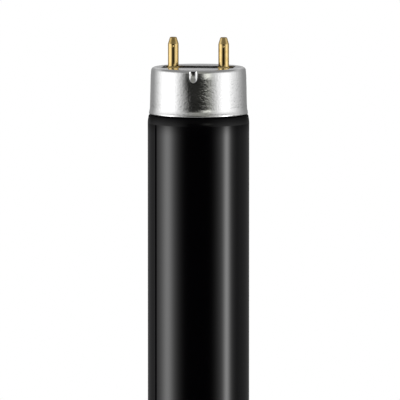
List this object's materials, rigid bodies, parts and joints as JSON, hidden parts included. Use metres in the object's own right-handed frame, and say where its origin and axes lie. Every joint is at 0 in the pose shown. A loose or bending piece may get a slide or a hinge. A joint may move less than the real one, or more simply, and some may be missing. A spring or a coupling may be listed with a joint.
{
  "type": "black light tube lamp",
  "caption": "Slim ultraviolet tube lamp: near-black filter glass tube with a drawn aluminium cap at each end and brass contact pins standing on a recessed black insulator.",
  "frame": {"origin": "middle of the lamp, on the tube's axis, halfway between the two caps' end faces", "axes": "+Z along the tube's axis towards the upper cap, X through the pins of both caps, -Y towards the locating dents on the front of the caps"},
  "size_m": [0.0254, 0.0254, 0.4516],
  "materials": {
    "dark_glass": "smooth glossy near-black ultraviolet filter glass",
    "drawn_aluminium": "satin polished drawn sheet",
    "black_phenolic": "satin black phenolic",
    "basing_cement": "dull cured basing cement",
    "brass": "bright turned brass",
    "nickel_wire": "bare nickel-plated wire"
  },
  "bodies": {
    "root": {"glass_tube": "dark_glass", "upper_cap": "drawn_aluminium", "lower_cap": "drawn_aluminium", "upper_insulator": "black_phenolic", "lower_insulator": "black_phenolic", "upper_cement": "basing_cement", "lower_cement": "basing_cement", "upper_left_pin": "brass", "upper_right_pin": "brass", "lower_left_pin": "brass", "lower_right_pin": "brass", "upper_left_lead": "nickel_wire", "upper_right_lead": "nickel_wire", "lower_left_lead": "nickel_wire", "lower_right_lead": "nickel_wire"}
  },
  "joints": []
}
